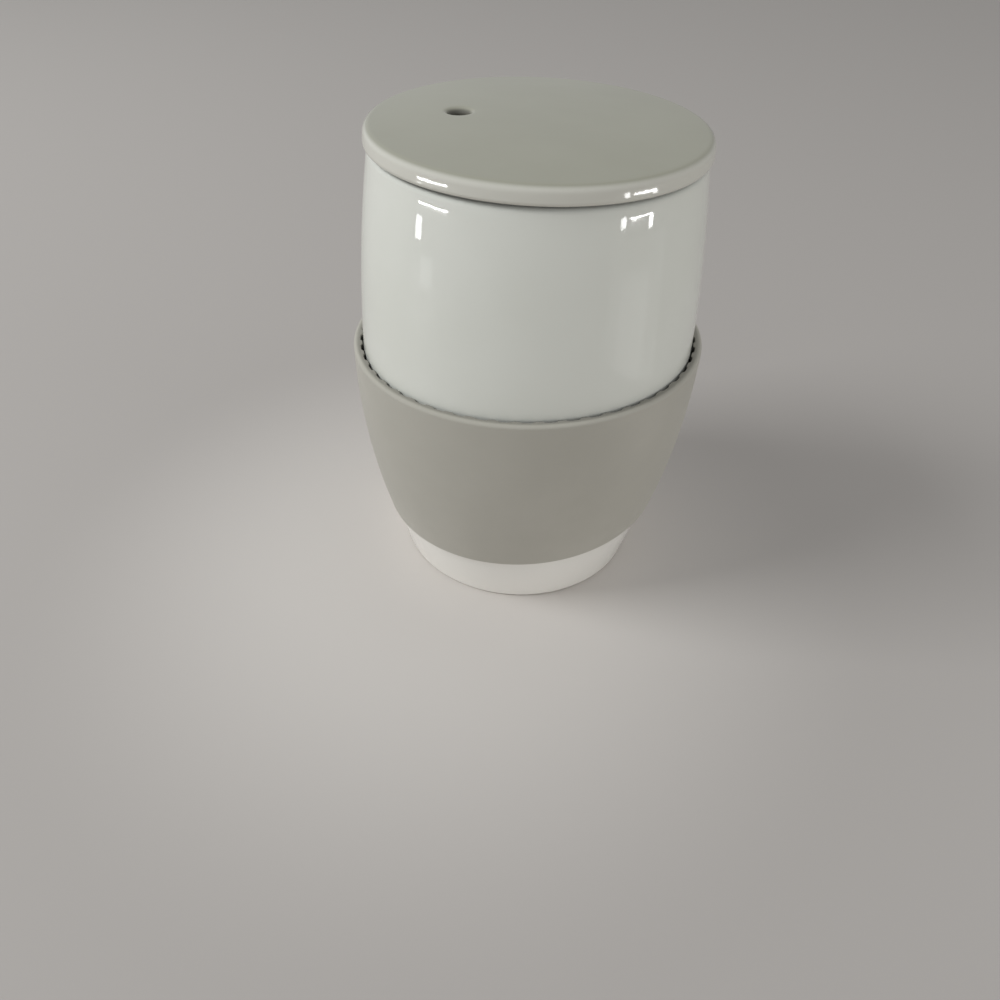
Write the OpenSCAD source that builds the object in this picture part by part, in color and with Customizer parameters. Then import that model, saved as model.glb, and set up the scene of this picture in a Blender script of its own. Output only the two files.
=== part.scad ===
// Microwave egg cooker: a glazed ceramic cup with a loose ceramic lid and a ribbed silicone sleeve.
// Millimetres. The cup stands on z = 0 with its axis on Z, and every piece is shown where it is used.

/* [Cup] */
// Height of the cup from the table to the top of its lip
cup_h = 116.4; // [106:0.2:126]
// Diameter of the foot where it meets the table, before its edge is rounded
foot_d = 71.2; // [68:0.2:74]
// Diameter at the belly, the widest level of the cup
belly_d = 88.2; // [86:0.2:91]
// Height of the belly above the table
belly_z = 57; // [54:0.5:60]
// Diameter at the mouth, before the lip is rounded
mouth_d = 78.2; // [75:0.2:82]
// Height where the foot's slant, drawn on upwards, would meet the belly's upright line
foot_bend_z = 38.3; // [37:0.1:42]
// Thickness of the cup's wall
wall = 4; // [3.4:0.1:5]
// Radius of the rounding on both edges of the lip
lip_round = 1.5; // [0.8:0.1:1.6]
// Level of the cup's inside floor above the table
floor_z = 6; // [4.5:0.1:9]
// Radius of the fillet between the inside floor and the wall
floor_fillet = 9; // [3:0.5:14]
// Radius of the rounding on the outside edge of the foot
foot_round = 1; // [0.3:0.1:1.6]
// Width of the flat ring that the cup stands on
foot_land = 3; // [2:0.1:5]
// Depth of the hollow under the foot
foot_hollow = 1.8; // [0.8:0.1:2.6]

/* [Lid] */
// Diameter of the lid
lid_d = 80; // [78:0.2:84]
// Thickness of the lid at its rim
lid_t = 4.6; // [4.2:0.1:6]
// Rise of the lid's top from its rim to its middle
lid_dome = 0.9; // [0.4:0.1:3]
// Lean of the rim's side, in degrees, its top inwards
rim_lean = 8; // [0:0.5:12]
// Radius of the rounding on the upper edge of the rim
lid_top_round = 1.9; // [1:0.1:2.6]
// Radius of the rounding on the lower edge of the rim
lid_under_round = 0.9; // [0.3:0.1:1.1]
// Height of the rim's underside above the seat, which leaves a thin gap outside the lip's flat top
rim_gap = 0.4; // [0.1:0.05:0.5]
// Depth of the skirt that keeps the lid in the mouth
skirt_h = 6; // [5:0.1:9]
// Thickness of the skirt
skirt_t = 3.2; // [2.4:0.1:4.5]
// Radius of the rounding on both lower edges of the skirt
skirt_round = 1; // [0.3:0.1:1.1]
// Play between the skirt and the narrowest level of the mouth
skirt_play = 0.6; // [0.3:0.1:1.2]

/* [Vent hole] */
// Diameter of the steam hole in the lid
vent_d = 4.8; // [3:0.1:7]
// Place of the steam hole left of the lid's middle
vent_left = 18.4; // [10:0.2:24]
// Place of the steam hole behind the lid's middle
vent_back = 2.6; // [-10:0.2:10]
// Radius of the soft edge where the hole meets the top of the lid
vent_flare = 1.5; // [0.5:0.1:2]
// Radius of the soft edge where the hole meets the underside of the lid
vent_under_flare = 0.6; // [0.3:0.1:1]

/* [Sleeve] */
// Level of the sleeve's lower edge above the table, on the cup's axis
sleeve_z = 18.6; // [16:0.1:22]
// Height of the sleeve, on the cup's axis
sleeve_h = 49.8; // [46:0.1:54]
// Slant of the sleeve's upper edge, in degrees
sleeve_top_slant = 2.6; // [0:0.1:3]
// Side on which the upper edge is highest, in degrees about the cup's axis from its right
sleeve_top_turn = -35; // [-60:5:60]
// Slant of the sleeve's lower edge, in degrees, its right side up
sleeve_low_slant = 4.4; // [0:0.1:5]
// Thickness of the sleeve over its ribs at the upper edge
sleeve_top_t = 2.3; // [2.1:0.1:3.4]
// Thickness of the sleeve at the lower edge
sleeve_low_t = 1.1; // [1:0.1:1.9]
// Distance of the sleeve's widest level below its upper edge
sleeve_crest = 4.4; // [3:0.2:8]
// Radius of the rounding on the outside of the upper edge
sleeve_top_round = 0.8; // [0.3:0.1:1.1]
// Radius of the rounding on the outside of the lower edge
sleeve_low_round = 0.5; // [0.2:0.1:0.7]
// Play between the sleeve's ribs and the cup
sleeve_play = 0.12; // [0.05:0.01:0.25]
// Number of upright ribs inside the sleeve
rib_count = 52; // [36:1:60]
// Height of a rib, which is the depth of the gaps between the ribs
rib_h = 0.5; // [0.3:0.1:1]
// Width of the gap between two ribs
rib_gap = 3; // [1.5:0.1:3.4]
// Turn of the gaps about the cup's axis, in degrees
gap_turn = 1.8; // [-3.4:0.1:3.4]
// Height of the plain band below the ribs
plain_band = 14; // [8:0.5:24]

/* [Hidden] */
$fn = 360;
glaze_white = [0.9, 0.9, 0.88];
glaze_grey = [0.7, 0.69, 0.64];
silicone_grey = [0.53, 0.52, 0.48];

belly_r = belly_d / 2;
foot_r = foot_d / 2;
mouth_r = mouth_d / 2;
// The cup's outline is an arc above the belly, an arc below it, and a straight lean down to the foot.
upper_r = arc_radius(cup_h - belly_z, belly_r - mouth_r);
foot_lean = atan((belly_r - foot_r) / foot_bend_z);
lower_r = (belly_z - foot_bend_z) / tan(foot_lean / 2);
upper_c = [belly_r - upper_r, belly_z];
lower_c = [belly_r - lower_r, belly_z];
throat_r = arc_x(upper_c, upper_r - wall, cup_h - lip_round);

sleeve_top = sleeve_z + sleeve_h;
crest_z = sleeve_top - sleeve_crest;
crest_r = belly_r + sleeve_play + sleeve_top_t;
sleeve_low_r = cup_radius(sleeve_z) + sleeve_play + sleeve_low_t;
sleeve_r = arc_radius(crest_z - sleeve_z, crest_r - sleeve_low_r);
sleeve_c = [crest_r - sleeve_r, crest_z];
edge_room = 0.15;
gap_start = foot_r;

lid_r = lid_d / 2;
lid_rim_top = cup_h + lid_t;
rim_low = cup_h + rim_gap;
seat_r = arc_x(upper_c, upper_r - lip_round, cup_h - lip_round);
// The rim's side is a straight line, rim_side from the axis along its own slanted normal.
rim_normal = [cos(rim_lean), sin(rim_lean)];
rim_low_c = [lid_r - lid_under_round, rim_low + lid_under_round];
rim_side = rim_low_c * rim_normal + lid_under_round;
rim_top_c = [rim_x(lid_rim_top - lid_top_round, lid_top_round), lid_rim_top - lid_top_round];
dome_edge = rim_top_c[0];
dome_r = arc_radius(dome_edge, lid_dome);
skirt_r = throat_r - skirt_play;
vent_out = norm([vent_left, vent_back]);
vent_top = lid_rim_top + lid_dome - (dome_r - sqrt(dome_r * dome_r - vent_out * vent_out));
beyond = 1;
hair = 0.02;

// Radius of the arc that drops by drop over a run of run from its crest
function arc_radius(run, drop) = (run * run + drop * drop) / (2 * drop);
// Distance from the axis of the arc with centre c and radius r, at height z
function arc_x(c, r, z) = c[0] + sqrt(r * r - (z - c[1]) * (z - c[1]));
// The cup's outside radius at height z
function cup_radius(z) =
    z > belly_z ? arc_x(upper_c, upper_r, z)
    : z > lean_level(0) ? arc_x(lower_c, lower_r, z)
    : lean_x(0, z);
// The sleeve's outside radius at height z: an arc up to the crest, and upright above it
function sleeve_radius(z) = z > crest_z ? crest_r : arc_x(sleeve_c, sleeve_r, z);
// Distance from the axis of the rim's slanted side at height z, drawn in by inset
function rim_x(z, inset) = (rim_side - inset - z * rim_normal[1]) / rim_normal[0];
// Level where the straight lean meets the lower arc, on an outline drawn in by inset
function lean_level(inset) = belly_z - (lower_r - inset) * sin(foot_lean);
// Distance from the axis of the straight lean at height z, on an outline drawn in by inset
function lean_x(inset, z) = foot_r + z * tan(foot_lean) - inset / cos(foot_lean);

// A flat outline with its corner between tangent points a and b rounded by an arc about c
module round_corner(c, r, a, b) {
    difference() {
        children();
        difference() {
            polygon([c, a, c + 1.5 * (a - c) + 1.5 * (b - c), b]);
            translate(c) circle(r);
        }
    }
}

// Half outline of the cup's body drawn in by inset from its outside, from z = low to z = high
module body_outline(inset, low, high) {
    lower_outline(inset, low);
    intersection() {
        translate(upper_c) circle(upper_r - inset);
        translate([0, belly_z]) square([belly_d, high - belly_z]);
    }
}

// The part of that outline below the belly. The straight lean is drawn in by a hair, so that it crosses the
// arc at a clear angle and doesn't only touch it.
module lower_outline(inset, low) {
    lean = lean_level(inset);
    arc_end = lean - 2 * sqrt(2 * lower_r * hair);
    intersection() {
        translate(lower_c) circle(lower_r - inset);
        translate([0, arc_end]) square([belly_d, belly_z - arc_end]);
    }
    polygon([
        [0, low],
        [lean_x(inset + hair, low), low],
        [lean_x(inset + hair, lean), lean],
        [0, lean]
    ]);
}

module cup() {
    color(glaze_white) rotate_extrude() cup_outline();
}

module cup_outline() {
    lean = [cos(foot_lean), -sin(foot_lean)];
    foot_c = [lean_x(foot_round, foot_round), foot_round];
    lip_out = [arc_x(upper_c, upper_r - lip_round, cup_h - lip_round), cup_h - lip_round];
    lip_in = [arc_x(upper_c, upper_r - wall + lip_round, cup_h - lip_round), cup_h - lip_round];
    outward = (lip_out - upper_c) / norm(lip_out - upper_c);
    inward = (upper_c - lip_in) / norm(upper_c - lip_in);
    round_corner(foot_c, foot_round, foot_c + [0, -foot_round], foot_c + foot_round * lean)
    round_corner(lip_out, lip_round, lip_out + lip_round * outward, lip_out + [0, lip_round])
    round_corner(lip_in, lip_round, lip_in + lip_round * inward, lip_in + [0, lip_round])
    difference() {
        body_outline(0, 0, cup_h);
        cavity_outline();
        translate([0, -beyond]) square([foot_c[0] - foot_land, foot_hollow + beyond]);
    }
}

module cavity_outline() {
    lean = [cos(foot_lean), -sin(foot_lean)];
    fillet_z = floor_z + floor_fillet;
    fillet_c = [lean_x(wall + floor_fillet, fillet_z), fillet_z];
    round_corner(fillet_c, floor_fillet, fillet_c + [0, -floor_fillet], fillet_c + floor_fillet * lean)
    body_outline(wall, floor_z, cup_h + beyond);
}

module sleeve() {
    color(silicone_grey) difference() {
        intersection() {
            rotate_extrude() band_outline();
            rotate(sleeve_top_turn) edge_block(sleeve_top, sleeve_top_slant, sleeve_top_round);
            edge_block(sleeve_z, sleeve_low_slant, sleeve_low_round, over = true);
        }
        gaps();
    }
}

// Half outline of the sleeve's wall, which runs on past both of its slanted edges
module band_outline() {
    low = sleeve_z - belly_r * tan(sleeve_low_slant) - beyond;
    high = sleeve_top + belly_r * tan(sleeve_top_slant) + beyond;
    difference() {
        union() {
            intersection() {
                translate(sleeve_c) circle(sleeve_r);
                translate([0, low]) square([belly_d, crest_z - low]);
            }
            translate([0, crest_z]) square([crest_r, high - crest_z]);
        }
        bore_outline(sleeve_play, low - beyond);
    }
}

// Block that ends the band at a slanted edge and rounds that edge's outside. It fills what lies below the
// edge, or what lies over it.
module edge_block(level, slant, round, over = false) {
    edge_r = sleeve_radius(level);
    // Below the crest the band leans, which puts the slanted edge's middle beside the cup's axis.
    aside = edge_r * sin(slant) * max(0, crest_z - level) / (edge_r - sleeve_c[0]);
    translate([0, 0, level])
        rotate([0, -slant, 0])
            translate([aside, 0, 0])
                mirror([0, 0, over ? 1 : 0])
                    rotate_extrude() edge_outline(edge_r + edge_room, round);
}

module edge_outline(r, round) {
    depth = round + belly_d;
    c = [r - round, -round];
    round_corner(c, round, c + [round, 0], c + [0, round])
    polygon([
        [0, 0],
        [r, 0],
        [r, -round],
        [r + belly_d, -depth],
        [0, -depth]
    ]);
}

// The upright gaps between the ribs, each of which starts at one height above the slanted lower edge
module gaps() {
    intersection() {
        rotate_extrude() bore_outline(sleeve_play + rib_h, sleeve_z);
        for (i = [0 : rib_count - 1]) {
            turn = gap_turn + 360 / rib_count * i;
            low = sleeve_z + plain_band + foot_r * cos(turn) * tan(sleeve_low_slant);
            rotate(turn)
                translate([gap_start, -rib_gap / 2, low])
                    cube([belly_r, rib_gap, cup_h]);
        }
    }
}

// Half outline of the room that the cup needs in the sleeve as the sleeve slides off downwards, grown by play
module bore_outline(play, low) {
    lower_outline(-play, low);
    translate([0, belly_z]) square([belly_r + play, cup_h - belly_z]);
}

module lid() {
    color(glaze_grey) difference() {
        rotate_extrude() lid_outline();
        translate([-vent_left, vent_back, 0]) vent();
    }
}

module lid_outline() {
    skirt_low = cup_h - skirt_h;
    out_c = [skirt_r - skirt_round, skirt_low + skirt_round];
    in_c = [skirt_r - skirt_t + skirt_round, skirt_low + skirt_round];
    rim_outline();
    translate([0, cup_h]) square([seat_r, lid_t / 2]);
    intersection() {
        translate([0, lid_rim_top + lid_dome - dome_r]) circle(dome_r, $fn = 1440);
        translate([0, cup_h + lid_t / 2]) square([dome_edge, lid_t]);
    }
    round_corner(out_c, skirt_round, out_c + [skirt_round, 0], out_c + [0, -skirt_round])
    round_corner(in_c, skirt_round, in_c + [-skirt_round, 0], in_c + [0, -skirt_round])
    translate([skirt_r - skirt_t, skirt_low]) square([skirt_t, skirt_h + lid_t / 2]);
}

module rim_outline() {
    top_touch = rim_top_c + lid_top_round * rim_normal;
    low_touch = rim_low_c + lid_under_round * rim_normal;
    round_corner(rim_top_c, lid_top_round, top_touch, rim_top_c + [0, lid_top_round])
    round_corner(rim_low_c, lid_under_round, low_touch, rim_low_c + [0, -lid_under_round])
    polygon([
        [0, rim_low],
        [rim_x(rim_low, 0), rim_low],
        [rim_x(lid_rim_top, 0), lid_rim_top],
        [0, lid_rim_top]
    ]);
}

module vent() {
    translate([0, 0, cup_h - beyond]) cylinder(d = vent_d, h = lid_t + lid_dome + 2 * beyond);
    translate([0, 0, vent_top]) rotate_extrude() flare_outline(vent_flare);
    translate([0, 0, cup_h]) mirror([0, 0, 1]) rotate_extrude() flare_outline(vent_under_flare);
}

// Half outline of the cut that turns the hole's edge at z = 0 into a round of radius r
module flare_outline(r) {
    difference() {
        translate([0, -r]) square([vent_d / 2 + r, r + beyond]);
        translate([vent_d / 2 + r, -r]) circle(r);
    }
}

cup();
sleeve();
lid();
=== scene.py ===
import math

import bmesh
import bpy
from mathutils import Matrix, Vector


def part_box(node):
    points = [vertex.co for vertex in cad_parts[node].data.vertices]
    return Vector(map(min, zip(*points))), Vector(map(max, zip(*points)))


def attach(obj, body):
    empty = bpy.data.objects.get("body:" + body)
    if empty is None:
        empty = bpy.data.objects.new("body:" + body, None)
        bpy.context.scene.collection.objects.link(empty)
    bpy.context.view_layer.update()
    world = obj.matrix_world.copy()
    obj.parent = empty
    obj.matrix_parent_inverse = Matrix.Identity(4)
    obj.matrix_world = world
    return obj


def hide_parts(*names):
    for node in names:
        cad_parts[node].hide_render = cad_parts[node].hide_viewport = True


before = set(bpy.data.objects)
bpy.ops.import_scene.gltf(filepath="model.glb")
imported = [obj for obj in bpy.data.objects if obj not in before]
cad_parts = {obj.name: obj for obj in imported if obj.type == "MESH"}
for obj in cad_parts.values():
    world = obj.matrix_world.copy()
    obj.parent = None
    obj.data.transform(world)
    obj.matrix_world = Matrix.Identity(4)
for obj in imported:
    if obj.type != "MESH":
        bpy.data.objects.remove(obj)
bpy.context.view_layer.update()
scene = bpy.context.scene
mm = 0.001
print("egg cooker: frame loaded")


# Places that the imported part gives, in metres
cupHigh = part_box("cup")[1]
lidLow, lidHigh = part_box("lid")


# Camera, matched to the rim, the foot and the sides of the cup
cameraSetup = {
    "place": (0.0, -0.1886, 0.1747),
    "turn": -1.66,  # degrees, to the right of +Y
    "tiltDown": 41.88,
    "roll": 2.28,
    "lens": 28.08,  # millimetres, as is the sensor's width
    "sensor": 36.0,
    "clip": (0.01, 20),
}


def makeCamera(setup):
    turn, tilt, roll = (math.radians(setup[k]) for k in ("turn", "tiltDown", "roll"))
    forwards = Vector((math.sin(turn) * math.cos(tilt), math.cos(turn) * math.cos(tilt), -math.sin(tilt)))
    side = Vector((math.cos(turn), -math.sin(turn), 0))
    up = side.cross(forwards)
    right = math.cos(roll) * side + math.sin(roll) * up
    top = math.cos(roll) * up - math.sin(roll) * side
    data = bpy.data.cameras.new("camera")
    data.sensor_width = setup["sensor"]
    data.lens = setup["lens"]
    data.clip_start, data.clip_end = setup["clip"]
    camera = bpy.data.objects.new("camera", data)
    scene.collection.objects.link(camera)
    camera.matrix_world = Matrix((
        (right.x, top.x, -forwards.x, setup["place"][0]),
        (right.y, top.y, -forwards.y, setup["place"][1]),
        (right.z, top.z, -forwards.z, setup["place"][2]),
        (0, 0, 0, 1),
    ))
    scene.camera = camera


makeCamera(cameraSetup)
print("egg cooker: camera set")


# Outlines are lists of (distance from the axis, height) in metres
wheelRadius = 1 * mm  # the small circle that an outline is swept along
mergeDistance = 0.001 * mm  # points closer than this become one


def arcPoints(centre, radius, startDeg, endDeg, steps):
    turns = [math.radians(startDeg + (endDeg - startDeg) * i / steps) for i in range(steps + 1)]
    return [(centre[0] + radius * math.cos(t), centre[1] + radius * math.sin(t)) for t in turns]


def between(a, b, steps):
    # the points strictly between a and b
    return [(a[0] + (b[0] - a[0]) * i / steps, a[1] + (b[1] - a[1]) * i / steps) for i in range(1, steps)]


def bulgedBetween(a, b, radius, steps):
    # the same, on a shallow arc that bulges away from the axis
    length = math.hypot(b[0] - a[0], b[1] - a[1])
    away = ((a[1] - b[1]) / length, (b[0] - a[0]) / length)
    points = []
    for i, (x, y) in enumerate(between(a, b, steps), 1):
        out = length * length * i * (steps - i) / (steps * steps * 2 * radius)
        points.append((x + away[0] * out, y + away[1] * out))
    return points


def arcRadius(run, drop):
    # of an arc that leaves its tangent by drop after running that far along it
    return (run * run + drop * drop) / (2 * drop)


def outlineObject(name, points, closed, ribbed=None):
    # a wire of edges, its height on -Y, which the wheel below turns about the axis
    mesh = bpy.data.meshes.new(name)
    edges = [(i, i + 1) for i in range(len(points) - 1)]
    if closed:
        edges.append((len(points) - 1, 0))
    mesh.from_pydata([(r - wheelRadius, -z, 0) for r, z in points], edges, [])
    share = mesh.attributes.new("ribbed", "FLOAT", "POINT")
    share.data.foreach_set("value", ribbed or [0.0] * len(points))
    wire = bpy.data.objects.new(name, mesh)
    scene.collection.objects.link(wire)
    return wire


def wheelTree(name, withRibs):
    tree = bpy.data.node_groups.new(name, "GeometryNodeTree")
    sockets = {}
    wanted = [("Outline", "NodeSocketObject"), ("Segments", "NodeSocketInt"),
              ("Wheel Radius", "NodeSocketFloat"), ("Finish", "NodeSocketMaterial")]
    if withRibs:
        wanted += [("Rib Count", "NodeSocketInt"), ("Rib Height", "NodeSocketFloat"),
                   ("Gap Share", "NodeSocketFloat"), ("Gap Turn", "NodeSocketFloat"),
                   ("Rib Softness", "NodeSocketFloat")]
    for label, kind in wanted:
        sockets[label] = tree.interface.new_socket(label, in_out="INPUT", socket_type=kind).identifier
    tree.interface.new_socket("Geometry", in_out="OUTPUT", socket_type="NodeSocketGeometry")
    nodes, link = tree.nodes, tree.links.new
    start = nodes.new("NodeGroupInput")
    end = nodes.new("NodeGroupOutput")
    outline = nodes.new("GeometryNodeObjectInfo")
    wire = nodes.new("GeometryNodeMeshToCurve")
    circle = nodes.new("GeometryNodeCurvePrimitiveCircle")
    sweep = nodes.new("GeometryNodeCurveToMesh")
    merge = nodes.new("GeometryNodeMergeByDistance")
    smooth = nodes.new("GeometryNodeSetShadeSmooth")
    realize = nodes.new("GeometryNodeRealizeInstances")
    finish = nodes.new("GeometryNodeSetMaterial")
    merge.inputs["Distance"].default_value = mergeDistance
    link(start.outputs["Outline"], outline.inputs["Object"])
    link(outline.outputs["Geometry"], wire.inputs["Mesh"])
    link(start.outputs["Segments"], circle.inputs["Resolution"])
    link(start.outputs["Wheel Radius"], circle.inputs["Radius"])
    link(circle.outputs["Curve"], sweep.inputs["Curve"])
    link(wire.outputs["Curve"], sweep.inputs["Profile Curve"])
    link(sweep.outputs["Mesh"], merge.inputs["Geometry"])
    turned = merge.outputs["Geometry"]
    if withRibs:
        turned = addRibs(nodes, link, start, turned)
    link(turned, smooth.inputs["Geometry"])
    link(smooth.outputs["Geometry"], realize.inputs["Geometry"])
    link(realize.outputs["Geometry"], finish.inputs["Geometry"])
    link(start.outputs["Finish"], finish.inputs["Material"])
    link(finish.outputs["Geometry"], end.inputs["Geometry"])
    return tree, sockets


def mathNode(nodes, link, operation, first, second=None):
    node = nodes.new("ShaderNodeMath")
    node.operation = operation
    for socket, value in zip(node.inputs, (first, second)):
        if isinstance(value, (int, float)):
            socket.default_value = value
        elif value is not None:
            link(value, socket)
    return node.outputs[0]


def addRibs(nodes, link, start, band):
    # pushes the ribbed part of the outline in towards the axis, rib by rib round the wheel
    place = nodes.new("GeometryNodeInputPosition")
    parts = nodes.new("ShaderNodeSeparateXYZ")
    link(place.outputs["Position"], parts.inputs["Vector"])
    angle = mathNode(nodes, link, "ARCTAN2", parts.outputs["Y"], parts.outputs["X"])
    turned = mathNode(nodes, link, "SUBTRACT", angle, start.outputs["Gap Turn"])
    turn = mathNode(nodes, link, "DIVIDE", turned, 2 * math.pi)
    along = mathNode(nodes, link, "MULTIPLY", turn, start.outputs["Rib Count"])
    pitchPlace = mathNode(nodes, link, "FRACT", mathNode(nodes, link, "ADD", along, 0.5))
    fromMiddle = mathNode(nodes, link, "ABSOLUTE", mathNode(nodes, link, "SUBTRACT", pitchPlace, 0.5))
    halfGap = mathNode(nodes, link, "MULTIPLY", start.outputs["Gap Share"], 0.5)
    edge = nodes.new("ShaderNodeMapRange")
    edge.interpolation_type = "SMOOTHSTEP"
    link(fromMiddle, edge.inputs["Value"])
    link(mathNode(nodes, link, "SUBTRACT", halfGap, start.outputs["Rib Softness"]), edge.inputs["From Min"])
    link(mathNode(nodes, link, "ADD", halfGap, start.outputs["Rib Softness"]), edge.inputs["From Max"])
    ribbed = nodes.new("GeometryNodeInputNamedAttribute")
    ribbed.data_type = "FLOAT"
    ribbed.inputs["Name"].default_value = "ribbed"
    depth = mathNode(nodes, link, "MULTIPLY", edge.outputs["Result"], ribbed.outputs["Attribute"])
    depth = mathNode(nodes, link, "MULTIPLY", depth, start.outputs["Rib Height"])
    inward = mathNode(nodes, link, "MULTIPLY", depth, -1.0)
    out = nodes.new("ShaderNodeCombineXYZ")
    link(mathNode(nodes, link, "COSINE", angle), out.inputs["X"])
    link(mathNode(nodes, link, "SINE", angle), out.inputs["Y"])
    scale = nodes.new("ShaderNodeVectorMath")
    scale.operation = "SCALE"
    link(out.outputs["Vector"], scale.inputs[0])
    link(inward, scale.inputs["Scale"])
    push = nodes.new("GeometryNodeSetPosition")
    link(band, push.inputs["Geometry"])
    link(scale.outputs["Vector"], push.inputs["Offset"])
    return push.outputs["Geometry"]


def turnPiece(name, tree, sockets, values):
    # runs the tree on an empty mesh and keeps the result as a plain mesh
    seed = bpy.data.objects.new(name + "Seed", bpy.data.meshes.new(name + "Seed"))
    scene.collection.objects.link(seed)
    wheel = seed.modifiers.new("wheel", "NODES")
    wheel.node_group = tree
    for label, value in values.items():
        wheel[sockets[label]] = value
    bpy.context.view_layer.update()
    graph = bpy.context.evaluated_depsgraph_get()
    mesh = bpy.data.meshes.new_from_object(seed.evaluated_get(graph))
    mesh.name = name
    bpy.data.objects.remove(seed)
    bpy.data.objects.remove(values["Outline"])
    piece = bpy.data.objects.new(name, mesh)
    scene.collection.objects.link(piece)
    faceOutwards(piece)
    return piece


def faceOutwards(piece):
    work = bmesh.new()
    work.from_mesh(piece.data)
    bmesh.ops.recalc_face_normals(work, faces=work.faces)
    if work.calc_volume(signed=True) < 0:
        bmesh.ops.reverse_faces(work, faces=work.faces)
    work.to_mesh(piece.data)
    work.free()


# Finishes

def newFinish(name):
    finish = bpy.data.materials.new(name)
    finish.use_nodes = True
    nodes = finish.node_tree.nodes
    return finish, nodes, finish.node_tree.links.new, nodes["Principled BSDF"]


def noiseField(nodes, link, place, scale, detail, roughness=0.5):
    noise = nodes.new("ShaderNodeTexNoise")
    noise.inputs["Scale"].default_value = scale
    noise.inputs["Detail"].default_value = detail
    noise.inputs["Roughness"].default_value = roughness
    link(place, noise.inputs["Vector"])
    return noise.outputs["Fac"]


def mapField(nodes, link, value, fromLow, fromHigh, toLow=0.0, toHigh=1.0):
    ramp = nodes.new("ShaderNodeMapRange")
    ramp.interpolation_type = "SMOOTHSTEP"
    limits = {"From Min": fromLow, "From Max": fromHigh, "To Min": toLow, "To Max": toHigh}
    for label, number in limits.items():
        ramp.inputs[label].default_value = number
    link(value, ramp.inputs["Value"])
    return ramp.outputs["Result"]


def patchField(nodes, link, place, patches, low=0.0, high=1.0):
    # soft patches of noise that run from low to high
    noise = noiseField(nodes, link, place, patches["scale"], patches["detail"], patches["roughness"])
    return mapField(nodes, link, noise, *patches["between"], low, high)


def mixColour(nodes, link, amount, first, second):
    mix = nodes.new("ShaderNodeMix")
    mix.data_type = "RGBA"
    link(amount, mix.inputs["Factor"])
    for label, colour in (("A", first), ("B", second)):
        socket = [s for s in mix.inputs if s.name == label and s.type == "RGBA"][0]
        if isinstance(colour, tuple):
            socket.default_value = (*colour, 1)
        else:
            link(colour, socket)
    return [s for s in mix.outputs if s.type == "RGBA"][0]


def addRelief(nodes, link, shader, place, layers):
    # layers of (noise scale, detail, depth), one on top of the other
    normal = None
    for scale, detail, depth in layers:
        bump = nodes.new("ShaderNodeBump")
        bump.inputs["Strength"].default_value = 1.0
        bump.inputs["Distance"].default_value = depth
        link(noiseField(nodes, link, place, scale, detail), bump.inputs["Height"])
        if normal is not None:
            link(normal, bump.inputs["Normal"])
        normal = bump.outputs["Normal"]
    link(normal, shader.inputs["Normal"])


def flatPlace(nodes, link, place):
    # the same place at height zero
    flat = nodes.new("ShaderNodeVectorMath")
    flat.operation = "MULTIPLY"
    link(place, flat.inputs[0])
    flat.inputs[1].default_value = (1, 1, 0)
    return flat.outputs["Vector"]


def objectPlace(nodes, link):
    # the object coordinates, the height and the distance from the axis
    place = nodes.new("ShaderNodeTexCoord").outputs["Object"]
    parts = nodes.new("ShaderNodeSeparateXYZ")
    link(place, parts.inputs["Vector"])
    across = nodes.new("ShaderNodeVectorMath")
    across.operation = "LENGTH"
    link(flatPlace(nodes, link, place), across.inputs[0])
    return place, parts.outputs["Z"], across.outputs["Value"]


# Cup: one outline turned on the wheel, from the hollow under the foot, up the outside and down the inside
cup = {
    "height": cupHigh.z,
    "bellyRadius": cupHigh.x,
    "bellyLevel": 57 * mm,
    "footRadius": 35.6 * mm,
    "footBendLevel": 38.3 * mm,  # where the foot's slant, drawn on, meets the belly's upright line
    "mouthRadius": 39.1 * mm,
    "wall": 4 * mm,
    "lipRound": 1.5 * mm,
    "floorLevel": 6 * mm,
    "floorFillet": 9 * mm,
    "footRound": 1 * mm,
    "footLand": 3 * mm,
    "footHollow": 1.8 * mm,
    "hollowRound": 0.8 * mm,
    "segments": 240,
    "steps": {  # of each stretch of the outline
        "flat": 8, "hollow": 5, "land": 4, "foot": 7, "lower": 26, "upper": 34, "lip": 8, "fillet": 12,
    },
    "glaze": {
        "colour": (0.79, 0.80, 0.74),
        "cloud": (0.755, 0.765, 0.70),  # where the glaze lies thicker
        "clouds": {"scale": 22, "detail": 3, "roughness": 0.5, "between": (0.38, 0.72)},
        "foot": (0.93, 0.91, 0.86),  # painted light: paler towards the foot, standing in for light thrown up from the floor
        "footLightHeights": (34 * mm, 12 * mm),  # where that starts, and where it is full
        "bare": (0.66, 0.63, 0.57),  # unglazed clay of the foot ring
        "bareHeights": (0.35 * mm, 0.1 * mm),
        "bareRoughness": 0.75,
        "roughness": (0.035, 0.06),
        "roughPatches": {"scale": 40, "detail": 2, "roughness": 0.5, "between": (0.3, 0.7)},
        "relief": ((45, 1, 0.12 * mm), (420, 2, 0.006 * mm)),
        "ior": 1.5,
    },
}

lean = math.atan((cup["bellyRadius"] - cup["footRadius"]) / cup["footBendLevel"])
upperRadius = arcRadius(cup["height"] - cup["bellyLevel"], cup["bellyRadius"] - cup["mouthRadius"])
lowerRadius = (cup["bellyLevel"] - cup["footBendLevel"]) / math.tan(lean / 2)
upperCentre = (cup["bellyRadius"] - upperRadius, cup["bellyLevel"])
lowerCentre = (cup["bellyRadius"] - lowerRadius, cup["bellyLevel"])


def leanAcross(inset, height):
    # the slanted foot's side, set in towards the axis
    return cup["footRadius"] + height * math.tan(lean) - inset / math.cos(lean)


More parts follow.
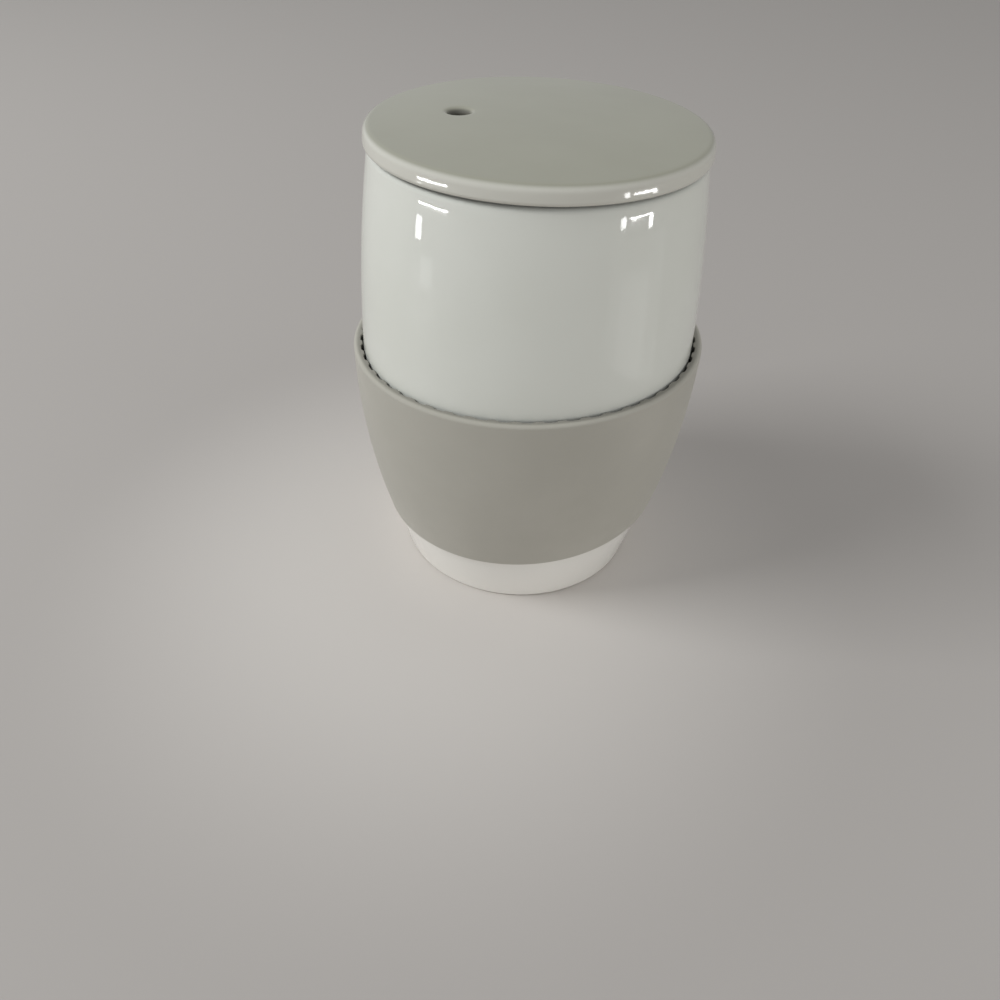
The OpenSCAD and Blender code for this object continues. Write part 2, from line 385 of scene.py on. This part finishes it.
def cupRadius(height):
    if height > cup["bellyLevel"]:
        return upperCentre[0] + math.sqrt(upperRadius ** 2 - (height - upperCentre[1]) ** 2)
    if height > cup["bellyLevel"] - lowerRadius * math.sin(lean):
        return lowerCentre[0] + math.sqrt(lowerRadius ** 2 - (height - lowerCentre[1]) ** 2)
    return leanAcross(0, height)


def lipCentre(inset):
    # centre of a lip rounding whose arc touches the wall's side at that inset
    height = cup["height"] - cup["lipRound"]
    reach = math.sqrt((upperRadius - inset) ** 2 - (height - upperCentre[1]) ** 2)
    return (upperCentre[0] + reach, height)


def angleAt(centre, point):
    return math.degrees(math.atan2(point[1] - centre[1], point[0] - centre[0]))


def cupOutline():
    steps, wall, fillet = cup["steps"], cup["wall"], cup["floorFillet"]
    footRound, hollow, soft = cup["footRound"], cup["footHollow"], cup["hollowRound"]
    landRound = soft / 2
    footCentre = (leanAcross(footRound, footRound), footRound)
    landInside = footCentre[0] - cup["footLand"]
    outerLip = lipCentre(cup["lipRound"])
    innerLip = lipCentre(wall - cup["lipRound"])
    outerTop = angleAt(upperCentre, outerLip)
    innerTop = angleAt(upperCentre, innerLip)
    filletHeight = cup["floorLevel"] + fillet
    filletCentre = (leanAcross(wall + fillet, filletHeight), filletHeight)
    leanDegrees = math.degrees(lean)
    underMiddle, floorMiddle = (0, hollow), (0, cup["floorLevel"])
    points = [underMiddle] + between(underMiddle, (landInside - soft, hollow), steps["flat"])
    points += arcPoints((landInside - soft, hollow - soft), soft, 90, 0, steps["hollow"])
    points += arcPoints((landInside + landRound, landRound), landRound, 180, 270, steps["land"])
    points += arcPoints(footCentre, footRound, -90, -leanDegrees, steps["foot"])
    points += arcPoints(lowerCentre, lowerRadius, -leanDegrees, 0, steps["lower"])
    points += arcPoints(upperCentre, upperRadius, 0, outerTop, steps["upper"])[1:]
    points += arcPoints(outerLip, cup["lipRound"], outerTop, 90, steps["lip"])[1:]
    points += arcPoints(innerLip, cup["lipRound"], 90, 180 + innerTop, steps["lip"])
    points += arcPoints(upperCentre, upperRadius - wall, innerTop, 0, steps["upper"])[1:]
    points += arcPoints(lowerCentre, lowerRadius - wall, 0, -leanDegrees, steps["lower"])[1:]
    points += arcPoints(filletCentre, fillet, -leanDegrees, -90, steps["fillet"])
    points += between(points[-1], floorMiddle, steps["flat"]) + [floorMiddle]
    return points


def makeWhiteGlaze(look):
    finish, nodes, link, shader = newFinish("whiteGlaze")
    place, height, _ = objectPlace(nodes, link)
    clouds = patchField(nodes, link, place, look["clouds"])
    colour = mixColour(nodes, link, clouds, look["colour"], look["cloud"])
    # painted light: the glaze is made paler towards the foot
    paintedFootLight = mapField(nodes, link, height, *look["footLightHeights"])
    colour = mixColour(nodes, link, paintedFootLight, colour, look["foot"])
    bare = mapField(nodes, link, height, *look["bareHeights"])
    colour = mixColour(nodes, link, bare, colour, look["bare"])
    link(colour, shader.inputs["Base Color"])
    rough = nodes.new("ShaderNodeMix")
    link(bare, rough.inputs["Factor"])
    link(patchField(nodes, link, place, look["roughPatches"], *look["roughness"]), rough.inputs["A"])
    rough.inputs["B"].default_value = look["bareRoughness"]
    link(rough.outputs["Result"], shader.inputs["Roughness"])
    shader.inputs["IOR"].default_value = look["ior"]
    addRelief(nodes, link, shader, place, look["relief"])
    return finish


plainTree, plainSockets = wheelTree("turnOnWheel", withRibs=False)
cupBody = turnPiece("cup_body", plainTree, plainSockets, {
    "Outline": outlineObject("cupOutline", cupOutline(), closed=False),
    "Segments": cup["segments"],
    "Wheel Radius": wheelRadius,
    "Finish": makeWhiteGlaze(cup["glaze"]),
})
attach(cupBody, "cup")
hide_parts("cup")
print("egg cooker: cup turned,", len(cupBody.data.polygons), "faces")


# Sleeve: a closed band turned on the wheel, its ribs pressed inwards, then pulled a little askew on the cup
sleeve = {
    "low": 18.6 * mm,  # the two edges, where they cross the cup's axis
    "high": 68.4 * mm,
    "topSlant": 2.6,  # degrees
    "topTurn": -35,  # degrees about the axis from the right, to where the upper edge is highest
    "lowSlant": 4.4,  # degrees, the right side up
    "play": 0.12 * mm,
    "topThickness": 2.3 * mm,
    "lowThickness": 1.1 * mm,
    "crestBelowTop": 4.4 * mm,
    "topRound": 0.8 * mm,
    "lowRound": 0.5 * mm,
    "innerRound": 0.2 * mm,
    "cornerCut": 0.3,  # how far in from the corner that rounding's middle lies, as a share of it
    "plainBand": 14 * mm,  # without ribs, above the lower edge
    "bandStep": 0.6 * mm,  # height over which the ribs start
    "ribHeight": 0.5 * mm,
    "ribCount": 52,
    "gapShare": 0.56,
    "gapTurn": 1.8,  # degrees about the axis
    "ribSoftness": 0.06,
    "ribShares": (0.85, 0.3),  # of the ribs' height, at the inside of the upper edge and further out on it
    "ribSharePlace": 0.6,  # where that second share is, from the inside to the outer rounding
    "segmentsPerRib": 12,
    "steps": {"plain": 5, "gap": 26, "topRound": 7, "crest": 4, "side": 36, "lowRound": 6},  # of its outline
    "silicone": {
        "colour": (0.465, 0.448, 0.392),
        "worn": (0.495, 0.476, 0.419),
        "wornPatches": {"scale": 35, "detail": 5, "roughness": 0.6, "between": (0.35, 0.75)},
        "edge": (0.30, 0.288, 0.25),  # painted shade: darker on top of the upper edge
        "edgeLightAndShadeInsets": (0.5 * mm, 1.4 * mm),  # in from the outside: where that starts, and where it is full
        "edgeShadeDrops": (0.7 * mm, 0.3 * mm),  # and the same down from the upper edge
        "gap": (0.07, 0.067, 0.058),  # painted shade: darker still between the ribs, where the inside lies in shade
        "gapShadeInsets": (0.14 * mm, 0.04 * mm),  # out from the gaps' floor, where that starts and is full
        "gapShadeTopDrops": (0.1 * mm, 0.4 * mm),  # it sets in this far below the upper edge
        "gapShadeLowDrops": (12 * mm, 8 * mm),  # and has faded out again down here
        "roughness": (0.5, 0.62),
        "roughPatches": {"scale": 60, "detail": 3, "roughness": 0.5, "between": (0.3, 0.7)},
        "relief": ((70, 2, 0.08 * mm), (2600, 2, 0.012 * mm)),
        "sheen": 0.12,
        "sheenRoughness": 0.5,
        "ior": 1.42,
    },
}


def boreRadius(height):
    # the sleeve's inside follows the cup up to the belly and goes straight up from there
    return cupRadius(min(height, cup["bellyLevel"])) + sleeve["play"]


def crestRadius():
    return cup["bellyRadius"] + sleeve["play"] + sleeve["topThickness"]


def sleeveOutline():
    # the points and, for each, the share of the ribs' height that it takes
    low, high, steps = sleeve["low"], sleeve["high"], sleeve["steps"]
    topRound, lowRound, soft = sleeve["topRound"], sleeve["lowRound"], sleeve["innerRound"]
    corner = soft * sleeve["cornerCut"]
    crest = high - sleeve["crestBelowTop"]
    widest = crestRadius()
    lowEdge = cupRadius(low) + sleeve["play"] + sleeve["lowThickness"]
    radius = arcRadius(crest - low, widest - lowEdge)
    centre = (widest - radius, crest)
    topHeight, lowHeight = high - topRound, low + lowRound
    topCentre = (widest - topRound, topHeight)
    lowCentre = (centre[0] + math.sqrt((radius - lowRound) ** 2 - (lowHeight - crest) ** 2), lowHeight)
    bandTop = low + sleeve["plainBand"]
    gapLow, gapTop = bandTop + sleeve["bandStep"], boreRadius(high) + sleeve["ribHeight"]
    shareRadius = gapTop + (topCentre[0] - gapTop) * sleeve["ribSharePlace"]
    points, ribbed = [], []

    def add(more, share=0.0):
        points.extend(more)
        ribbed.extend([share] * len(more))

    def heights(start, stop, count):
        return [start + (stop - start) * i / count for i in range(count + 1)]

    add([(boreRadius(low) + corner, low + corner)])
    add([(boreRadius(h), h) for h in heights(low + soft, bandTop, steps["plain"])])
    inGap = heights(gapLow, high - soft, steps["gap"])
    add([(boreRadius(h) + sleeve["ribHeight"], h) for h in inGap] + [(gapTop + corner, high - corner)], 1.0)
    add([(gapTop + soft, high)], sleeve["ribShares"][0])
    add([(shareRadius, high)], sleeve["ribShares"][1])
    add(arcPoints(topCentre, topRound, 90, 0, steps["topRound"]))
    add(between((widest, topHeight), (widest, crest), steps["crest"]))
    add(arcPoints(centre, radius, 0, angleAt(centre, lowCentre), steps["side"])[:-1])
    add(arcPoints(lowCentre, lowRound, angleAt(centre, lowCentre), -90, steps["lowRound"]))
    add([(boreRadius(low) + soft, low)])
    return points, ribbed


def setAskew(piece):
    # tips the band's edges and lets its body slide over the cup, so that it stays against the glaze
    low, high = sleeve["low"], sleeve["high"]
    lowSlope = math.tan(math.radians(sleeve["lowSlant"]))
    topSlope = math.tan(math.radians(sleeve["topSlant"]))
    turn = math.radians(sleeve["topTurn"])
    for vertex in piece.data.vertices:
        x, y, z = vertex.co
        across = math.hypot(x, y)
        share = (z - low) / (high - low)
        towardsHigh = x * math.cos(turn) + y * math.sin(turn)
        newHeight = z + x * lowSlope * (1 - share) + towardsHigh * topSlope * share
        grow = (across + boreRadius(newHeight) - boreRadius(z)) / across
        vertex.co = (x * grow, y * grow, newHeight)


def dropField(nodes, link, place):
    # how far a point lies below the slanted upper edge
    turn = math.radians(sleeve["topTurn"])
    slope = math.tan(math.radians(sleeve["topSlant"]))
    slant = nodes.new("ShaderNodeVectorMath")
    slant.operation = "DOT_PRODUCT"
    link(place, slant.inputs[0])
    slant.inputs[1].default_value = (slope * math.cos(turn), slope * math.sin(turn), -1)
    return mathNode(nodes, link, "ADD", slant.outputs["Value"], sleeve["high"])


def makeSilicone(look):
    finish, nodes, link, shader = newFinish("silicone")
    place, _, across = objectPlace(nodes, link)
    drop = dropField(nodes, link, place)
    worn = patchField(nodes, link, place, look["wornPatches"])
    colour = mixColour(nodes, link, worn, look["colour"], look["worn"])
    # painted shade: the top of the upper edge is made darker
    inwards = mapField(nodes, link, across, *[crestRadius() - inset for inset in look["edgeLightAndShadeInsets"]])
    upwards = mapField(nodes, link, drop, *look["edgeShadeDrops"])
    paintedEdgeShade = mathNode(nodes, link, "MULTIPLY", inwards, upwards)
    colour = mixColour(nodes, link, paintedEdgeShade, colour, look["edge"])
    # painted shade: the inside between the ribs is made dark
    gapRadius = boreRadius(sleeve["high"]) + sleeve["ribHeight"]
    inGap = mapField(nodes, link, across, *[gapRadius + inset for inset in look["gapShadeInsets"]])
    for drops in (look["gapShadeTopDrops"], look["gapShadeLowDrops"]):
        inGap = mathNode(nodes, link, "MULTIPLY", inGap, mapField(nodes, link, drop, *drops))
    colour = mixColour(nodes, link, inGap, colour, look["gap"])
    link(colour, shader.inputs["Base Color"])
    rough = patchField(nodes, link, place, look["roughPatches"], *look["roughness"])
    link(rough, shader.inputs["Roughness"])
    shader.inputs["IOR"].default_value = look["ior"]
    shader.inputs["Sheen Weight"].default_value = look["sheen"]
    shader.inputs["Sheen Roughness"].default_value = look["sheenRoughness"]
    addRelief(nodes, link, shader, place, look["relief"])
    return finish


ribTree, ribSockets = wheelTree("ribbedOnWheel", withRibs=True)
sleevePoints, sleeveRibbed = sleeveOutline()
sleeveBand = turnPiece("silicone_sleeve", ribTree, ribSockets, {
    "Outline": outlineObject("sleeveOutline", sleevePoints, closed=True, ribbed=sleeveRibbed),
    "Segments": sleeve["ribCount"] * sleeve["segmentsPerRib"],
    "Wheel Radius": wheelRadius,
    "Finish": makeSilicone(sleeve["silicone"]),
    "Rib Count": sleeve["ribCount"],
    "Rib Height": sleeve["ribHeight"],
    "Gap Share": sleeve["gapShare"],
    "Gap Turn": math.radians(sleeve["gapTurn"]),
    "Rib Softness": sleeve["ribSoftness"],
})
setAskew(sleeveBand)
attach(sleeveBand, "sleeve")
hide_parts("sleeve")
print("egg cooker: sleeve turned,", len(sleeveBand.data.polygons), "faces")


# Lid: rings that start round the steam hole and widen into rings round the lid's own middle
lid = {
    "radius": lidHigh.x,
    "under": cup["height"],
    "rimTop": cup["height"] + 4.6 * mm,
    "dome": 0.9 * mm,
    "rimLean": 8,  # degrees, the rim's side leans in at the top
    "sideRadius": 40 * mm,  # of the shallow arc that the side bulges on
    "topRound": 1.9 * mm,
    "underRound": 0.9 * mm,
    "rimGap": 0.4 * mm,  # the rim's underside stays this far above the seat
    "seatRadius": lipCentre(cup["lipRound"])[0],
    "skirtLow": lidLow.z,
    "skirtRadius": 34.7 * mm,
    "skirtThickness": 3.2 * mm,
    "skirtRound": 1 * mm,
    "rootRound": 1.2 * mm,
    "vent": (-18.4 * mm, 2.6 * mm),
    "ventRadius": 2.4 * mm,
    "flare": 1.5 * mm,
    "underFlare": 0.6 * mm,
    "segments": 240,
    "steps": {  # of each stretch, from the steam hole round the lid and back
        "flare": 8, "dome": 30, "rimTop": 12, "side": 8, "rimLow": 8, "skirt": 4, "skirtRound": 6,
        "under": 20, "underFlare": 6, "hole": 4,
    },
    "glaze": {
        "colour": (0.385, 0.38, 0.31),
        "cloud": (0.365, 0.36, 0.292),  # where the glaze lies thicker
        "clouds": {"scale": 30, "detail": 4, "roughness": 0.5, "between": (0.35, 0.7)},
        "edge": (0.66, 0.65, 0.585),  # paler on the round rim: painted light, with a little of it the glaze breaking thin there
        "edgeLightAndShadeInsets": (1.3 * mm, 0.4 * mm),  # in from the rim: where that starts, and where it is full
        "seat": (0.06, 0.058, 0.05),  # painted shade: a dark ring under the rim, where the gap over the cup's lip lies in shade
        "seatShadeHeights": (0.405 * mm, 0.135 * mm),  # above the rim's underside
        "seatShadeBlend": 0.5 * mm,
        "ventShade": (0.17, 0.165, 0.14),  # painted shade: darker down the steam hole's side
        "ventShadeInsets": (0.75 * mm, 0.1 * mm),  # out from the hole's side
        "roughness": (0.04, 0.07),
        "roughPatches": {"scale": 40, "detail": 2, "roughness": 0.5, "between": (0.3, 0.7)},
        "relief": ((40, 1, 0.1 * mm), (500, 2, 0.006 * mm)),
        "ior": 1.5,
    },
}


def rimCentres():
    # centres of the roundings under and over the rim's leaning side
    tilt = math.radians(lid["rimLean"])
    under = (lid["radius"] - lid["underRound"], lid["under"] + lid["rimGap"] + lid["underRound"])
    side = under[0] * math.cos(tilt) + under[1] * math.sin(tilt) + lid["underRound"]
    topHeight = lid["rimTop"] - lid["topRound"]
    return under, ((side - lid["topRound"] - topHeight * math.sin(tilt)) / math.cos(tilt), topHeight)


def domeHeight(across):
    edge = rimCentres()[1][0]
    radius = arcRadius(edge, lid["dome"])
    return lid["rimTop"] + lid["dome"] - radius + math.sqrt(radius ** 2 - min(across, edge) ** 2)


def rimOutline():
    # from the dome's edge round the rim and down onto the seat
    steps, base, gap, seat = lid["steps"], lid["under"], lid["rimGap"], lid["seatRadius"]
    under, top = rimCentres()
    roundTop = arcPoints(top, lid["topRound"], 90, lid["rimLean"], steps["rimTop"])[1:]
    roundLow = arcPoints(under, lid["underRound"], lid["rimLean"], -90, steps["rimLow"])
    side = bulgedBetween(roundTop[-1], roundLow[0], lid["sideRadius"], steps["side"])
    cut = gap / 4
    corners = [(seat + cut, base + gap), (seat, base + gap - cut), (seat, base + cut), (seat - cut, base)]
    return roundTop + side + roundLow + corners


def skirtOutline():
    # down the skirt's outside, up its inside and round into the lid's underside
    steps, base, outside = lid["steps"], lid["under"], lid["skirtRadius"]
    inside = outside - lid["skirtThickness"]
    soft, root = lid["skirtRound"], lid["rootRound"]
    bend, rootHeight = lid["skirtLow"] + soft, base - root
    cut = root / 4
    points = [(outside + cut, base), (outside, base - cut)]
    points += between((outside, base - cut), (outside, bend), steps["skirt"])
    points += arcPoints((outside - soft, bend), soft, 0, -90, steps["skirtRound"])
    points += arcPoints((inside + soft, bend), soft, -90, -180, steps["skirtRound"])
    points += between((inside, bend), (inside, rootHeight), steps["skirt"])
    points += arcPoints((inside - root, rootHeight), root, 0, 90, steps["skirtRound"])
    return points


def quarterTurns(steps):
    return [math.radians(90 * i / steps) for i in range(steps + 1)]


def slidingRing(narrow, wide, share, height):
    # share 0 is narrow and round the steam hole, share 1 is wide and round the lid's own middle
    centre = (lid["vent"][0] * (1 - share), lid["vent"][1] * (1 - share))
    return centre, narrow + (wide - narrow) * share, height, 0.0


def lidRings():
    # (centre, radius, height or None on the dome, drop below the dome)
    vent, hole, steps, base = lid["vent"], lid["ventRadius"], lid["steps"], lid["under"]
    flare, underFlare = lid["flare"], lid["underFlare"]
    middle = (0.0, 0.0)
    domeEdge = rimCentres()[1][0]
    skirtInside = skirtOutline()[-1][0]
    rings = []
    for turn in quarterTurns(steps["flare"]):
        rings.append((vent, hole + flare * (1 - math.cos(turn)), None, flare * (1 - math.sin(turn))))
    for i in range(1, steps["dome"] + 1):
        rings.append(slidingRing(hole + flare, domeEdge, i / steps["dome"], None))
    rings += [(middle, r, z, 0.0) for r, z in rimOutline() + skirtOutline()]
    for i in range(1, steps["under"] + 1):
        rings.append(slidingRing(hole + underFlare, skirtInside, 1 - i / steps["under"], base))
    for turn in quarterTurns(steps["underFlare"])[1:]:
        radius = hole + underFlare * (1 - math.sin(turn))
        rings.append((vent, radius, base + underFlare * (1 - math.cos(turn)), 0.0))
    wallLow, wallTop = base + underFlare, domeHeight(math.hypot(*vent)) - flare
    rings += [(vent, r, z, 0.0) for r, z in between((hole, wallLow), (hole, wallTop), steps["hole"])]
    return rings


def makeGreyGlaze(look):
    finish, nodes, link, shader = newFinish("greyGlaze")
    place, height, across = objectPlace(nodes, link)
    clouds = patchField(nodes, link, place, look["clouds"])
    colour = mixColour(nodes, link, clouds, look["colour"], look["cloud"])
    # painted light: the round rim is made paler, a little of it the glaze breaking there
    paintedRimLight = mapField(nodes, link, across, *[lid["radius"] - inset for inset in look["edgeLightAndShadeInsets"]])
    colour = mixColour(nodes, link, paintedRimLight, colour, look["edge"])
    # painted shade: a dark ring on the rim's underside, outside the skirt
    rimLow = lid["under"] + lid["rimGap"]
    low = mapField(nodes, link, height, *[rimLow + rise for rise in look["seatShadeHeights"]])
    beyondSkirt = mapField(nodes, link, across, lid["skirtRadius"], lid["skirtRadius"] + look["seatShadeBlend"])
    paintedSeatShade = mathNode(nodes, link, "MULTIPLY", low, beyondSkirt)
    colour = mixColour(nodes, link, paintedSeatShade, colour, look["seat"])
    # painted shade: the steam hole's side is made darker
    fromVent = nodes.new("ShaderNodeVectorMath")
    fromVent.operation = "DISTANCE"
    link(flatPlace(nodes, link, place), fromVent.inputs[0])
    fromVent.inputs[1].default_value = (*lid["vent"], 0)
    ventShadeEdges = [lid["ventRadius"] + inset for inset in look["ventShadeInsets"]]
    paintedVentShade = mapField(nodes, link, fromVent.outputs["Value"], *ventShadeEdges)
    colour = mixColour(nodes, link, paintedVentShade, colour, look["ventShade"])
    link(colour, shader.inputs["Base Color"])
    rough = patchField(nodes, link, place, look["roughPatches"], *look["roughness"])
    link(rough, shader.inputs["Roughness"])
    shader.inputs["IOR"].default_value = look["ior"]
    addRelief(nodes, link, shader, place, look["relief"])
    return finish


def buildLid():
    rings, count = lidRings(), lid["segments"]
    spots = []
    for centre, radius, height, drop in rings:
        for k in range(count):
            turn = 2 * math.pi * k / count
            x, y = centre[0] + radius * math.cos(turn), centre[1] + radius * math.sin(turn)
            z = domeHeight(math.hypot(x, y)) - drop if height is None else height
            spots.append((x, y, z))
    faces = []
    for i in range(len(rings)):
        a, b = i * count, (i + 1) % len(rings) * count
        faces += [(a + k, a + (k + 1) % count, b + (k + 1) % count, b + k) for k in range(count)]
    mesh = bpy.data.meshes.new("lid_disc")
    mesh.from_pydata(spots, [], faces)
    mesh.polygons.foreach_set("use_smooth", [True] * len(faces))
    mesh.materials.append(makeGreyGlaze(lid["glaze"]))
    piece = bpy.data.objects.new("lid_disc", mesh)
    scene.collection.objects.link(piece)
    faceOutwards(piece)
    return piece


lidDisc = buildLid()
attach(lidDisc, "lid")
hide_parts("lid")
print("egg cooker: lid made,", len(lidDisc.data.polygons), "faces")


# Floor: pale, with a painted pool of light round the foot that darkens away from it
floorSetup = {
    "paintedLightNear": (0.68, 0.645, 0.61),
    "far": (0.48, 0.452, 0.428),
    "middle": (-0.02, -0.02, 0),  # of the painted pool of light
    "lightFades": (0.035, 0.13),  # distances from that middle, where the painted light starts to fade and where it is gone
    "roughness": 0.6,
    "size": 6.0,
}


def makeFloor():
    half = floorSetup["size"] / 2
    corners = [(-half, -half, 0), (half, -half, 0), (half, half, 0), (-half, half, 0)]
    mesh = bpy.data.meshes.new("floor")
    mesh.from_pydata(corners, [], [(0, 1, 2, 3)])
    finish, nodes, link, shader = newFinish("paleFloor")
    away = nodes.new("ShaderNodeVectorMath")
    away.operation = "DISTANCE"
    link(nodes.new("ShaderNodeTexCoord").outputs["Object"], away.inputs[0])
    away.inputs[1].default_value = floorSetup["middle"]
    # painted light: the floor is paler round the foot
    paintedLightFade = mapField(nodes, link, away.outputs["Value"], *floorSetup["lightFades"])
    colour = mixColour(nodes, link, paintedLightFade, floorSetup["paintedLightNear"], floorSetup["far"])
    link(colour, shader.inputs["Base Color"])
    shader.inputs["Roughness"].default_value = floorSetup["roughness"]
    mesh.materials.append(finish)
    floor = bpy.data.objects.new("floor", mesh)
    scene.collection.objects.link(floor)


# Soft light from all round, and a plain backdrop for whatever looks or mirrors past the piece
ambient = {
    "colour": (0.98, 0.99, 1.0),
    "strength": 0.475,
    "backdropLeft": (0.56, 0.57, 0.56),
    "backdropRight": (0.30, 0.30, 0.29),
    "backdropTurns": (-0.6, 0.6),  # X of the directions between which one runs into the other
}


def makeAmbient():
    world = bpy.data.worlds.new("room")
    scene.world = world
    world.use_nodes = True
    nodes, link = world.node_tree.nodes, world.node_tree.links.new
    light = nodes["Background"]
    light.inputs["Color"].default_value = (*ambient["colour"], 1)
    light.inputs["Strength"].default_value = ambient["strength"]
    direction = nodes.new("ShaderNodeSeparateXYZ")
    link(nodes.new("ShaderNodeTexCoord").outputs["Generated"], direction.inputs["Vector"])
    towardsRight = mapField(nodes, link, direction.outputs["X"], *ambient["backdropTurns"])
    backdrop = mixColour(nodes, link, towardsRight, ambient["backdropLeft"], ambient["backdropRight"])
    seen = nodes.new("ShaderNodeBackground")
    link(backdrop, seen.inputs["Color"])
    seen.inputs["Strength"].default_value = 1.0
    path = nodes.new("ShaderNodeLightPath")
    direct = path.outputs["Is Camera Ray"]
    for kind in ("Is Glossy Ray", "Is Transmission Ray"):
        direct = mathNode(nodes, link, "MAXIMUM", direct, path.outputs[kind])
    choose = nodes.new("ShaderNodeMixShader")
    link(direct, choose.inputs[0])
    link(light.outputs[0], choose.inputs[1])
    link(seen.outputs[0], choose.inputs[2])
    link(choose.outputs[0], nodes["World Output"].inputs["Surface"])


# Lamps: a large one high on the left and a low one on the right, with streaks that the gloss mirrors
lampAim = (0, 0, 0.06)
lamps = {
    "leftLamp": {
        "place": (-1.125, -0.24, 1.02),
        "size": (0.62, 0.6),
        "radiance": 9.6,
        "colour": (0.97, 0.99, 1.0),
    },
    "rightLamp": {
        "place": (1.1, -0.45, 0.17),
        "size": (0.7, 0.32),
        "radiance": 3.0,
        "colour": (1.0, 0.99, 0.96),
    },
}
streaks = {  # middle, length from front to back, height, radiance
    "leftBar": ((-0.42, -0.2165, 0.0654), 0.198, 0.0055, 60),
    "leftLeg": ((-0.42, -0.1296, 0.0345), 0.034, 0.025, 16),
    "leftPatch": ((-0.30, -0.143, 0.021), 0.055, 0.026, 0.9),
    "rightBar": ((0.42, -0.1741, 0.0643), 0.137, 0.0055, 60),
    "rightNearLeg": ((0.42, -0.288, 0.0632), 0.036, 0.0236, 16),
    "rightFarLeg": ((0.42, -0.1106, 0.0552), 0.026, 0.018, 16),
    "rightPatch": ((0.16, -0.09, 0.045), 0.13, 0.08, 0.22),
    "rightPatchMiddle": ((0.15, -0.085, 0.04), 0.06, 0.06, 0.25),
}


def makeLamp(name, place, width, height, radiance, colour=(1, 1, 1)):
    data = bpy.data.lights.new(name, "AREA")
    data.shape = "RECTANGLE"
    data.size, data.size_y = width, height
    data.energy = radiance * math.pi * width * height
    data.color = colour
    lamp = bpy.data.objects.new(name, data)
    scene.collection.objects.link(lamp)
    lamp.location = place
    lamp.visible_camera = False
    return lamp


def makeLamps():
    # these light the piece, and no surface mirrors them
    for name, setup in lamps.items():
        lamp = makeLamp(name, setup["place"], *setup["size"], setup["radiance"], setup["colour"])
        aim = Vector(lampAim) - Vector(setup["place"])
        lamp.rotation_euler = aim.to_track_quat("-Z", "Y").to_euler()
        lamp.visible_glossy = False


def makeStreaks():
    # each faces across the floor, lights nothing, and is only seen mirrored
    for name, (middle, length, height, radiance) in streaks.items():
        lamp = makeLamp(name, middle, length, height, radiance)
        turn = math.copysign(math.radians(90), middle[0])
        lamp.rotation_euler = (math.radians(90), 0, turn)
        lamp.visible_diffuse = False


makeFloor()
makeAmbient()
makeLamps()
makeStreaks()
scene.view_settings.view_transform = "Standard"
print("egg cooker: room lit")
